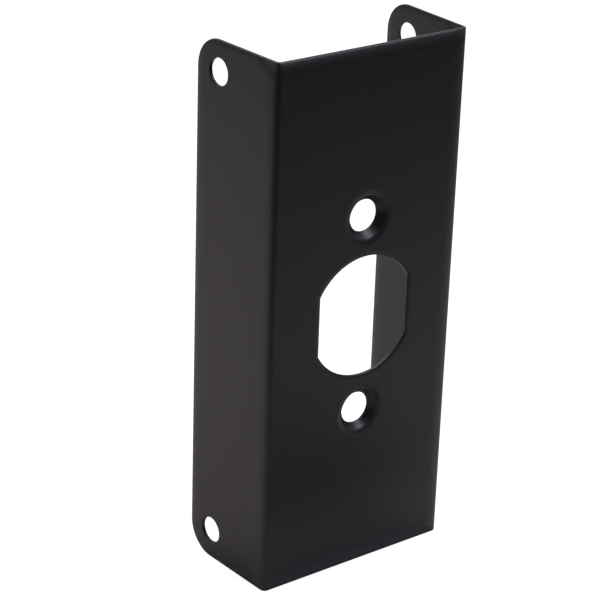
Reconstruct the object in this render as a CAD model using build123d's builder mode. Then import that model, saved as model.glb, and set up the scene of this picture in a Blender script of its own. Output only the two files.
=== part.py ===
"""Door reinforcer: one steel sheet, pierced, dimpled and folded into a channel round a door's edge.

Millimetres and degrees. +Z runs up the door's edge, +Y points into the door, +X across its
thickness. The origin is the centre of the latch hole, on the web's inner face.
"""

import os
from math import cos, radians, sin, tan

from build123d import *

# Sheet and channel
door_thickness = 44.45  # clear width between the flanges, where they leave the bends
sheet = 0.6  # 24 gauge steel
plate_height = 110.4
flange_depth = 24.4  # from the web's outer face to a flange's free edge
bend_radius = 0.6  # on the inside of a bend
flange_spread = 1.85  # how far each flange springs back from square
corner_radius = 6.35  # the flanges' free corners

# Latch hole, a circle with two flats
latch_bore = 25.25  # 1 inch, less the coat
latch_flat_inset = 1.65  # how far a flat cuts into the circle
latch_corner = 0.4  # where a flat meets the circle

# Dimpled holes for the latch's two face screws
latch_screw_spacing = 41.275
latch_screw_hole = 6.65
latch_screw_head = 9.4  # width of a flat head that sits flush in the dimple
latch_screw_angle = 82.0  # included angle of that head
latch_hole_wall = 0.37  # length of the straight wall at the bottom of a dimple
dimple_bend = 0.9  # on the inside of a dimple's rim

# Holes for the screws through the door's faces
flange_hole = 5.4  # 7/32 inch, less the coat
flange_hole_inset = 6.25  # from the plate's end to a hole's centre
flange_hole_setback = 6.6  # from a flange's free edge to a hole's centre

# Edges left by the press and rounded by the coat
outline_roll = 0.25  # outer face, all round the blank
outline_break = 0.1  # inner face, all round the blank and the latch hole
hole_roll = 0.2  # outer face, round the pierced holes

# Worked out from the sizes above
half_width = door_thickness / 2
flange_length = flange_depth - sheet
free_edge_x = half_width + flange_length * sin(radians(flange_spread))
free_edge_y = flange_length * cos(radians(flange_spread))

rim_turn = 90 - latch_screw_angle / 2  # from the flat web down into a dimple
dimple_radius = latch_screw_head / 2 + (dimple_bend + sheet) * tan(radians(rim_turn / 2))
hole_radius = latch_screw_hole / 2
wall_start = (latch_screw_head / 2 - hole_radius) * tan(radians(rim_turn))
dimple_back = wall_start + latch_hole_wall - sheet  # how far a dimple stands behind the web

with BuildPart() as plate:
    # Folded section, drawn along its inner faces from one free edge to the other
    with BuildSketch(Plane.XY):
        with BuildLine():
            FilletPolyline(
                (-free_edge_x, free_edge_y),
                (-half_width, 0),
                (half_width, 0),
                (free_edge_x, free_edge_y),
                radius=bend_radius,
            )
            offset(amount=sheet, side=Side.RIGHT)
        make_face()
    extrude(amount=plate_height / 2, both=True)

    # Rounded free corners of the flanges
    free_edges = plate.faces().group_by(Axis.Y)[-1]
    fillet(free_edges.edges().group_by(SortBy.LENGTH)[0], radius=corner_radius)

    # The edges of each face meet in tangents all round the blank, so one edge leads to the rest
    for side, edge_radius in ((0, outline_roll), (-1, outline_break)):
        web_face = plate.faces().filter_by(Axis.Y).sort_by(Axis.Y)[side]
        fillet(web_face.edges().sort_by(Axis.Z)[-1], radius=edge_radius)

    # Latch hole
    with BuildSketch(Plane.XZ):
        Circle(latch_bore / 2)
        Rectangle(latch_bore - 2 * latch_flat_inset, latch_bore, mode=Mode.INTERSECT)
        fillet(vertices(), radius=latch_corner)
    extrude(amount=sheet, mode=Mode.SUBTRACT)
    for side, edge_radius in ((0, hole_roll), (-1, outline_break)):
        web_face = plate.faces().filter_by(Axis.Y).sort_by(Axis.Y)[side]
        fillet(web_face.inner_wires()[0].edges(), radius=edge_radius)

    # Flange holes, drilled straight through both flanges
    with BuildSketch(Plane.YZ):
        with Locations((free_edge_y - flange_hole_setback, 0)):
            with GridLocations(0, plate_height - 2 * flange_hole_inset, 1, 2):
                Circle(flange_hole / 2)
    extrude(amount=free_edge_x + sheet, both=True, mode=Mode.SUBTRACT)
    hole_edges = plate.edges(Select.LAST).filter_by(GeomType.LINE, reverse=True)
    chamfer(hole_edges.sort_by(lambda edge: abs(edge.center().X))[-4:], length=hole_roll)

    # Screw dimples, each the sheet's own thickness turned down a cone
    for height in (-latch_screw_spacing / 2, latch_screw_spacing / 2):
        with BuildSketch(Plane.XZ):
            with Locations((0, height)):
                Circle(dimple_radius)
        extrude(amount=sheet, mode=Mode.SUBTRACT)
        with BuildSketch(Plane.XY.offset(height)):
            with BuildLine():
                rim = JernArc((dimple_radius, 0), (-1, 0), dimple_bend, -rim_turn)
                cone_width = (rim @ 1).X - hole_radius
                PolarLine(rim @ 1, cone_width, direction=rim % 1, length_mode=LengthMode.HORIZONTAL)
                offset(amount=sheet, side=Side.LEFT)
            make_face()
            Rectangle(hole_radius, 2 * dimple_radius, align=(Align.MIN, Align.CENTER), mode=Mode.SUBTRACT)
            with Locations((0, dimple_back)):
                Rectangle(dimple_radius, dimple_radius, align=Align.MIN, mode=Mode.SUBTRACT)
        revolve(axis=Axis((0, 0, height), (0, 1, 0)))

plate.part.label = "reinforcer_plate"

os.makedirs("parts", exist_ok=True)
export_step(plate.part, "parts/reinforcer_plate.step")
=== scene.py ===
"""Looks of a black-coated steel door reinforcer, standing on its lower end on a pale floor."""

import math

import bmesh
import bpy
from bpy.props import FloatProperty, FloatVectorProperty, PointerProperty
from mathutils import Matrix, Vector


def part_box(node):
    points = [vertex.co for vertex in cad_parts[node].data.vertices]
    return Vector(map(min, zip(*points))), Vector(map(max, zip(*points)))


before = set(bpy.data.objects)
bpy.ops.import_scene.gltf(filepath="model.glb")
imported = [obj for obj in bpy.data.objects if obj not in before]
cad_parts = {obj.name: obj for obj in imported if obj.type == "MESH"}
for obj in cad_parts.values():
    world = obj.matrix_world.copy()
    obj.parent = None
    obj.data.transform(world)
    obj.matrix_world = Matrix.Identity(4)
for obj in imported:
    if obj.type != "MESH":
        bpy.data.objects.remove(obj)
PLATE = "reinforcer_plate"
PLATE_LOW, PLATE_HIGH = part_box(PLATE)

bl_info = {
    "name": "Door reinforcer",
    "version": (1, 0, 0),
    "blender": (4, 5, 0),
    "location": "View3D > Sidebar > Reinforcer",
    "description": "Finishes a folded steel door reinforcer and sets up the studio round it",
    "category": "Object",
}

MM = 0.001

# Where the coat starts to lean off, in mm from the middle of the shared frame
RIGHT_FOLD = 22.05
LEFT_FOLD = 22.6
FLANGE_START = 0.16
FREE_EDGE = PLATE_HIGH.y / MM
PLATE_END = PLATE_HIGH.z / MM
CORNER = 6.35
LATCH_RADIUS = 12.62
LATCH_FLAT = 10.98
DIMPLE_HEIGHT = 20.64
DIMPLE_RADIUS = 5.05
FLANGE_HOLE = (17.19, 48.95)
FLANGE_HOLE_RADIUS = 2.7

# How the coat leans off there: most at the first distance in mm, none past the second, by how many degrees,
# and how steeply it goes. A lean below nought brings a fold back level sooner.
RIGHT_FOLD_LEAN = (0.4, 3.2, 20.0, 3.0)
LEFT_FOLD_LEAN = (0.5, 1.1, -24.0, 2.0)
FLANGE_LEAN = (0.4, 2.8, 11.0, 3.0)
LATCH_LEAN = (0.2, 1.3, 25.0, 3.0)
DIMPLE_LEAN = (0.35, 1.5, 10.0, 3.0)
FLANGE_HOLE_LEAN = (0.2, 0.8, 8.0, 3.0)
FREE_EDGE_LEAN = (0.25, 3.6, 8.0, 3.0)
OUTLINE_LEAN = (0.25, 1.3, 8.5, 2.0)
WEB_END_LEAN = (0.25, 3.2, 24.5, 2.0)

# The lean at the web's ends is gone this many mm up the flanges
WEB_END_FADE = 6.0

# Dust makes a nib in some share of the coat's spots, and baking leaves orange peel. Lengths are in mm. Both
# stand higher than on a real coat, or they wouldn't show.
NIB_SPACING = 1.5
NIB_HEIGHT = 0.06
NIB_RADIUS = 0.27
NIB_SHARE = 0.3
PEEL_WIDTH = 1.4
PEEL_DEPTH = 0.018
PEEL_DETAIL = 2.0

# The refractive index of polyester
COAT_IOR = 1.5

# A pool of light painted into the paper's colour, which reflections see: lit behind the plate, falling to
# painted shade towards the camera, over these distances in m
FLOOR_HALF = 2.0
PAINTED_POOL_CENTRE = (0.105, 0.345, PLATE_LOW.z)
PAINTED_POOL_INNER = 0.240
PAINTED_POOL_OUTER = 0.660

# A patch of painted shade on the paper in front of the plate, which only reflections show: its half size in
# m, and where it starts and stops to fade, as shares of that
PAINTED_PATCH_CENTRE = (0.014, -0.039, PLATE_LOW.z)
PAINTED_PATCH_HALF = (0.038, 0.018, 1.0)
PAINTED_PATCH_CORE = 0.5
PAINTED_PATCH_EDGE = 1.3

# What the camera sees of the paper: its even white, and the part that takes the plate's shadow
PAPER_WHITE = 0.87
PAPER_SHADOWED = "#A0A0A0"

# The surroundings are lit behind the plate, dim in front, and nearly black where a dark stand is. A way is
# an angle round from +X and an angle up, in degrees. Where the light changes is the cosine of the angle off
# its way.
LIT_WAY = (82.0, 0.0)
LIT_FROM = 0.5
DIM_FROM = -0.85
FRONT_LIGHT = 0.13
BACK_LIGHT = 0.68
STAND_WAY = (-136.7, 31.7)
STAND_CORE = 0.97
STAND_EDGE = 0.84
STAND_LIGHT = 0.1
WALL_TINT = "#FFF8F8"

# Each softbox's name, colour, power in W, width in m, way, and distance in m
SOFTBOXES = (
    ("key_softbox", "#DDE2FF", 1.5, 0.30, (-53.0, 54.0), 0.6),
    ("back_softbox", "#FFFFFF", 1.38, 0.35, (80.0, 65.0), 0.6),
)

# Where the camera is and what it looks at, in mm, its roll in degrees and its sensor's width in mm
CAMERA_EYE = (-247.3, -296.1, 168.95)
CAMERA_AIM = (0.0, 19.9, -4.05)
CAMERA_ROLL = 1.99
SENSOR_WIDTH = 36.0


def linear(colour):
    """An sRGB hex colour as the linear values that a shader takes."""
    shares = [int(colour[i : i + 2], 16) / 255 for i in (1, 3, 5)]
    return tuple(c / 12.92 if c <= 0.04045 else ((c + 0.055) / 1.055) ** 2.4 for c in shares)


def direction(azimuth, height):
    """The unit vector at an angle round from +X and an angle up, in degrees."""
    round_from_x = math.radians(azimuth)
    up = math.radians(height)
    level = math.cos(up)
    return Vector((math.cos(round_from_x) * level, math.sin(round_from_x) * level, math.sin(up)))


def add_node(tree, kind, settings=None, **inputs):
    """A new node with its settings, and its inputs set to values or linked.

    An input goes by its name, or by an i and its number. A link is a socket, or a node's first output.
    """
    node = tree.nodes.new(kind)
    for name, value in (settings or {}).items():
        setattr(node, name, value)
    for name, value in inputs.items():
        socket = node.inputs[int(name[1:])] if name[1:].isdigit() else node.inputs[name.replace("_", " ")]
        if isinstance(value, bpy.types.Node):
            value = value.outputs[0]
        if isinstance(value, bpy.types.NodeSocket):
            tree.links.new(value, socket)
        else:
            socket.default_value = value
    return node


class PlateSettings(bpy.types.PropertyGroup):
    """The coat on the plate."""

    coat_colour: FloatVectorProperty(
        name="Coat colour",
        description="Black of the coat",
        default=linear("#1C1919"),
        subtype="COLOR",
        size=3,
        min=0,
        max=1,
    )
    roughness: FloatProperty(
        name="Roughness",
        description="How satin the coat is",
        default=0.36,
        subtype="FACTOR",
        min=0,
        max=1,
    )


class StudioSettings(bpy.types.PropertyGroup):
    """The floor, the patch of painted shade on it and the camera."""

    floor_colour: FloatVectorProperty(
        name="Floor colour",
        description="Pale paper that the plate stands on",
        default=linear("#EEE7E7"),
        subtype="COLOR",
        size=3,
        min=0,
        max=1,
    )
    # Painted shade: the paper's colour in reflections, away from the painted pool of light
    painted_shade_colour: FloatVectorProperty(
        name="Shade colour",
        description="The paper in the unlit part of the studio",
        default=linear("#4A4546"),
        subtype="COLOR",
        size=3,
        min=0,
        max=1,
    )
    # Painted shade: a dark patch in the paper's colour in front of the plate, seen only in reflections
    painted_patch_colour: FloatVectorProperty(
        name="Card colour",
        description="A small card on the paper in front of the plate, which only reflections show",
        default=linear("#6D6768"),
        subtype="COLOR",
        size=3,
        min=0,
        max=1,
    )
    lens: FloatProperty(
        name="Lens",
        description="Focal length of the camera",
        default=128.42,
        unit="CAMERA",
        min=10,
        max=500,
    )


def run_out(tree, measure, edge, inwards, lean):
    """Height in mm of a face that leans off towards an edge, by one of the leans above.

    The measure is a length in mm that changes across the face, and edge is its value at the edge. It grows
    away from the edge where inwards is 1, and falls where that is -1.
    """
    lead, reach, tilt, power = lean
    parts = []
    for length in (lead, reach):
        near = add_node(
            tree,
            "ShaderNodeMapRange",
            Value=measure,
            From_Min=edge,
            From_Max=edge + inwards * length,
            To_Min=1.0,
            To_Max=0.0,
        )
        curve = add_node(tree, "ShaderNodeMath", {"operation": "POWER"}, i0=near, i1=power)
        fall = math.tan(math.radians(tilt)) * length / power
        parts.append(add_node(tree, "ShaderNodeMath", {"operation": "MULTIPLY"}, i0=curve, i1=fall))
    return add_node(tree, "ShaderNodeMath", {"operation": "SUBTRACT"}, i0=parts[0], i1=parts[1])


def edge_leans(tree, place):
    """Heights in mm of the coat beside the plate's folds, ends and holes, from a place in mm."""
    x, y, z = add_node(tree, "ShaderNodeSeparateXYZ", Vector=place).outputs
    out = add_node(tree, "ShaderNodeMath", {"operation": "ABSOLUTE"}, i0=x)
    up = add_node(tree, "ShaderNodeMath", {"operation": "ABSOLUTE"}, i0=z)
    on_web = add_node(tree, "ShaderNodeCombineXYZ", X=x, Y=up)
    on_flange = add_node(tree, "ShaderNodeCombineXYZ", X=y, Y=up)

    # The latch hole's outline, flats and all, counts as LATCH_RADIUS from the middle
    from_middle = add_node(tree, "ShaderNodeVectorMath", {"operation": "LENGTH"}, i0=on_web)
    past_flat = add_node(tree, "ShaderNodeMath", {"operation": "ADD"}, i0=out, i1=LATCH_RADIUS - LATCH_FLAT)
    from_latch = add_node(
        tree,
        "ShaderNodeMath",
        {"operation": "MAXIMUM"},
        i0=from_middle.outputs["Value"],
        i1=past_flat,
    )
    from_dimple = add_node(
        tree,
        "ShaderNodeVectorMath",
        {"operation": "DISTANCE"},
        i0=on_web,
        i1=(0.0, DIMPLE_HEIGHT, 0.0),
    )
    from_bolt = add_node(
        tree,
        "ShaderNodeVectorMath",
        {"operation": "DISTANCE"},
        i0=on_flange,
        i1=(*FLANGE_HOLE, 0.0),
    )

    # The plate's outline, round corners and all, is CORNER away from the box within it
    within = add_node(
        tree,
        "ShaderNodeVectorMath",
        {"operation": "MINIMUM"},
        i0=on_flange,
        i1=(FREE_EDGE - CORNER, PLATE_END - CORNER, 0.0),
    )
    from_within = add_node(tree, "ShaderNodeVectorMath", {"operation": "DISTANCE"}, i0=on_flange, i1=within)

    web_end = run_out(tree, up, PLATE_END, -1, WEB_END_LEAN)
    web_only = add_node(
        tree,
        "ShaderNodeMapRange",
        {"interpolation_type": "SMOOTHSTEP"},
        Value=y,
        From_Max=WEB_END_FADE,
        To_Min=1.0,
        To_Max=0.0,
    )
    return (
        run_out(tree, x, RIGHT_FOLD, -1, RIGHT_FOLD_LEAN),
        run_out(tree, x, -LEFT_FOLD, 1, LEFT_FOLD_LEAN),
        run_out(tree, y, FLANGE_START, 1, FLANGE_LEAN),
        run_out(tree, from_latch, LATCH_RADIUS, 1, LATCH_LEAN),
        run_out(tree, from_dimple.outputs["Value"], DIMPLE_RADIUS, 1, DIMPLE_LEAN),
        run_out(tree, from_bolt.outputs["Value"], FLANGE_HOLE_RADIUS, 1, FLANGE_HOLE_LEAN),
        run_out(tree, y, FREE_EDGE, -1, FREE_EDGE_LEAN),
        run_out(tree, from_within.outputs["Value"], CORNER, -1, OUTLINE_LEAN),
        add_node(tree, "ShaderNodeMath", {"operation": "MULTIPLY"}, i0=web_end, i1=web_only),
    )


def dust_and_peel(tree, place):
    """Heights in mm of the coat's nibs of dust and of its orange peel, from a place in mm."""
    specks = add_node(tree, "ShaderNodeTexVoronoi", Vector=place, Scale=1 / NIB_SPACING)
    chance = add_node(tree, "ShaderNodeSeparateColor", Color=specks.outputs["Color"])
    kept = add_node(tree, "ShaderNodeMath", {"operation": "LESS_THAN"}, i0=chance, i1=NIB_SHARE)
    nib = add_node(
        tree,
        "ShaderNodeMapRange",
        {"interpolation_type": "SMOOTHSTEP"},
        Value=specks.outputs["Distance"],
        From_Max=NIB_RADIUS / NIB_SPACING,
        To_Min=NIB_HEIGHT,
        To_Max=0.0,
    )
    peel = add_node(tree, "ShaderNodeTexNoise", Vector=place, Scale=1 / PEEL_WIDTH, Detail=PEEL_DETAIL)
    return (
        add_node(tree, "ShaderNodeMath", {"operation": "MULTIPLY"}, i0=nib, i1=kept),
        add_node(tree, "ShaderNodeMath", {"operation": "MULTIPLY"}, i0=peel, i1=PEEL_DEPTH),
    )


def black_powder_coat(settings):
    """Satin black polyester powder coat, sprayed on and baked.

    It mirrors its surroundings softly, so each flat face has its own even tone. It flows round every fold,
    hole and end, so light rolls off there over a millimetre or more. Close to, it has faint orange peel
    and a few nibs of dust.
    """
    material = bpy.data.materials.new("black_powder_coat")
    material.use_nodes = True
    tree = material.node_tree
    tree.nodes.clear()
    in_metres = add_node(tree, "ShaderNodeTexCoord").outputs["Object"]
    place = add_node(tree, "ShaderNodeVectorMath", {"operation": "SCALE"}, i0=in_metres, Scale=1 / MM)
    height = 0.0
    for part in (*edge_leans(tree, place), *dust_and_peel(tree, place)):
        height = add_node(tree, "ShaderNodeMath", {"operation": "ADD"}, i0=height, i1=part)
    bump = add_node(tree, "ShaderNodeBump", Strength=1.0, Distance=MM, Height=height)
    surface = add_node(
        tree,
        "ShaderNodeBsdfPrincipled",
        Base_Color=(*settings.coat_colour, 1),
        Roughness=settings.roughness,
        IOR=COAT_IOR,
        Normal=bump,
    )
    add_node(tree, "ShaderNodeOutputMaterial", Surface=surface)
    return material


def finish_plate(settings):
    """Gives the folded plate its coat."""
    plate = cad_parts[PLATE]
    plate.material_slots[0].material = black_powder_coat(settings)


def paper_with_painted_shade(settings):
    """Matt pale paper off a wide roll.

    The camera sees it white, with the plate's faint shadow. The coat mirrors a painted pool of light in its
    colour, bright behind the plate and painted shade towards the camera, with a painted dark patch in
    front.
    """
    material = bpy.data.materials.new("paper_with_painted_shade")
    material.use_nodes = True
    tree = material.node_tree
    tree.nodes.clear()
    place = add_node(tree, "ShaderNodeTexCoord").outputs["Object"]
    # A pool of light painted into the paper's colour: painted shade grows with the distance from its centre
    from_painted_pool = add_node(tree, "ShaderNodeVectorMath", {"operation": "DISTANCE"}, i0=place, i1=PAINTED_POOL_CENTRE)
    painted_pool_shade = add_node(
        tree,
        "ShaderNodeMapRange",
        {"interpolation_type": "SMOOTHSTEP"},
        Value=from_painted_pool.outputs["Value"],
        From_Min=PAINTED_POOL_INNER,
        From_Max=PAINTED_POOL_OUTER,
    )
    paper_with_painted_pool = add_node(
        tree,
        "ShaderNodeMix",
        {"data_type": "RGBA"},
        i0=painted_pool_shade,
        i6=(*settings.floor_colour, 1),
        i7=(*settings.painted_shade_colour, 1),
    )
    # A patch of painted shade in front of the plate, mixed into the paper's colour
    on_painted_patch = add_node(
        tree,
        "ShaderNodeMapping",
        {"vector_type": "TEXTURE"},
        Vector=place,
        Location=PAINTED_PATCH_CENTRE,
        Scale=PAINTED_PATCH_HALF,
    )
    from_painted_patch = add_node(tree, "ShaderNodeVectorMath", {"operation": "LENGTH"}, i0=on_painted_patch)
    off_painted_patch = add_node(
        tree,
        "ShaderNodeMapRange",
        {"interpolation_type": "SMOOTHSTEP"},
        Value=from_painted_patch.outputs["Value"],
        From_Min=PAINTED_PATCH_CORE,
        From_Max=PAINTED_PATCH_EDGE,
    )
    colour = add_node(
        tree,
        "ShaderNodeMix",
        {"data_type": "RGBA"},
        i0=off_painted_patch,
        i6=(*settings.painted_patch_colour, 1),
        i7=paper_with_painted_pool.outputs[2],
    )
    # What reflections see: the paper's colour with its painted light and shade, lit by the softboxes and
    # the surroundings
    mirrored = add_node(tree, "ShaderNodeBsdfDiffuse", Color=colour.outputs[2])
    white = add_node(tree, "ShaderNodeEmission", Color=(1, 1, 1, 1), Strength=PAPER_WHITE)
    shadowed = add_node(tree, "ShaderNodeBsdfDiffuse", Color=(*linear(PAPER_SHADOWED), 1))
    seen = add_node(tree, "ShaderNodeAddShader", i0=white, i1=shadowed)
    by_camera = add_node(tree, "ShaderNodeLightPath").outputs["Is Camera Ray"]
    mixed = add_node(tree, "ShaderNodeMixShader", i0=by_camera, i1=mirrored, i2=seen)
    add_node(tree, "ShaderNodeOutputMaterial", Surface=mixed)
    return material


def make_floor(settings):
    """A wide sheet of paper under the plate."""
    mesh = bmesh.new()
    bmesh.ops.create_grid(mesh, x_segments=1, y_segments=1, size=FLOOR_HALF)
    bmesh.ops.translate(mesh, verts=mesh.verts, vec=(0, 0, PLATE_LOW.z))
    data = bpy.data.meshes.new("floor")
    mesh.to_mesh(data)
    mesh.free()
    data.materials.append(paper_with_painted_shade(settings))
    floor = bpy.data.objects.new("floor", data)
    bpy.context.scene.collection.objects.link(floor)


def make_world():
    """White surroundings, dim in front of the plate, with a dark stand beside the camera."""
    world = bpy.data.worlds.new("surroundings")
    bpy.context.scene.world = world
    world.use_nodes = True
    tree = world.node_tree
    tree.nodes.clear()
    way = add_node(tree, "ShaderNodeTexCoord").outputs["Generated"]
    lit_way = direction(*LIT_WAY)
    to_lit = add_node(tree, "ShaderNodeVectorMath", {"operation": "DOT_PRODUCT"}, i0=way, i1=lit_way)
    fade = add_node(
        tree,
        "ShaderNodeMapRange",
        Value=to_lit.outputs["Value"],
        From_Min=DIM_FROM,
        From_Max=LIT_FROM,
        To_Min=FRONT_LIGHT,
        To_Max=BACK_LIGHT,
    )
    stand_way = direction(*STAND_WAY)
    to_stand = add_node(tree, "ShaderNodeVectorMath", {"operation": "DOT_PRODUCT"}, i0=way, i1=stand_way)
    stand = add_node(
        tree,
        "ShaderNodeMapRange",
        {"interpolation_type": "SMOOTHSTEP"},
        Value=to_stand.outputs["Value"],
        From_Min=STAND_EDGE,
        From_Max=STAND_CORE,
        To_Min=1.0,
        To_Max=STAND_LIGHT,
    )
    both = add_node(tree, "ShaderNodeMath", {"operation": "MULTIPLY"}, i0=fade, i1=stand)
    studio = add_node(tree, "ShaderNodeBackground", Color=(*linear(WALL_TINT), 1), Strength=both)
    white = add_node(tree, "ShaderNodeBackground", Color=(1, 1, 1, 1), Strength=1.0)
    by_camera = add_node(tree, "ShaderNodeLightPath").outputs["Is Camera Ray"]
    mixed = add_node(tree, "ShaderNodeMixShader", i0=by_camera, i1=studio, i2=white)
    add_node(tree, "ShaderNodeOutputWorld", Surface=mixed)


def make_lamp(name, colour, power, width, way, distance):
    """A square softbox that faces the plate."""
    data = bpy.data.lights.new(name, "AREA")
    data.color = linear(colour)
    data.energy = power
    data.size = width
    lamp = bpy.data.objects.new(name, data)
    bpy.context.scene.collection.objects.link(lamp)
    outwards = direction(*way)
    turn = outwards.to_track_quat("Z", "Y").to_matrix().to_4x4()
    lamp.matrix_world = Matrix.Translation(outwards * distance) @ turn


def make_camera(settings):
    """The camera, where the photograph was taken from."""
    eye = Vector(CAMERA_EYE) * MM
    aim = Vector(CAMERA_AIM) * MM
    roll = math.radians(CAMERA_ROLL)
    data = bpy.data.cameras.new("camera")
    data.lens = settings.lens
    data.sensor_width = SENSOR_WIDTH
    camera = bpy.data.objects.new("camera", data)
    bpy.context.scene.collection.objects.link(camera)
    turn = (aim - eye).to_track_quat("-Z", "Y").to_matrix().to_4x4()
    camera.matrix_world = Matrix.Translation(eye) @ turn @ Matrix.Rotation(roll, 4, "Z")
    bpy.context.scene.camera = camera


class REINFORCER_OT_plate(bpy.types.Operator):
    """Gives the folded plate its coat"""

    bl_idname = "reinforcer.plate"
    bl_label = "Finish the plate"

    def execute(self, context):
        finish_plate(context.scene.reinforcer_plate)
        return {"FINISHED"}


class REINFORCER_OT_stage(bpy.types.Operator):
    """Makes the floor, the surroundings, the softboxes and the camera"""

    bl_idname = "reinforcer.stage"
    bl_label = "Set up the studio"

    def execute(self, context):
        settings = context.scene.reinforcer_studio
        make_floor(settings)
        make_world()
        for softbox in SOFTBOXES:
            make_lamp(*softbox)
        make_camera(settings)
        context.scene.view_settings.view_transform = "Standard"
        return {"FINISHED"}


class REINFORCER_PT_panel(bpy.types.Panel):
    """The plate's finish and its studio"""

    bl_idname = "REINFORCER_PT_panel"
    bl_label = "Door reinforcer"
    bl_space_type = "VIEW_3D"
    bl_region_type = "UI"
    bl_category = "Reinforcer"

    def draw(self, context):
        layout = self.layout
        for settings in (context.scene.reinforcer_plate, context.scene.reinforcer_studio):
            for name in settings.__annotations__:
                layout.prop(settings, name)
        layout.operator(REINFORCER_OT_plate.bl_idname)
        layout.operator(REINFORCER_OT_stage.bl_idname)


CLASSES = (PlateSettings, StudioSettings, REINFORCER_OT_plate, REINFORCER_OT_stage, REINFORCER_PT_panel)


def register():
    for item in CLASSES:
        bpy.utils.register_class(item)
    bpy.types.Scene.reinforcer_plate = PointerProperty(type=PlateSettings)
    bpy.types.Scene.reinforcer_studio = PointerProperty(type=StudioSettings)


def unregister():
    del bpy.types.Scene.reinforcer_studio
    del bpy.types.Scene.reinforcer_plate
    for item in reversed(CLASSES):
        bpy.utils.unregister_class(item)


def main():
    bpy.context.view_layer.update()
    register()
    bpy.ops.reinforcer.plate()
    bpy.ops.reinforcer.stage()


if __name__ == "__main__":
    main()
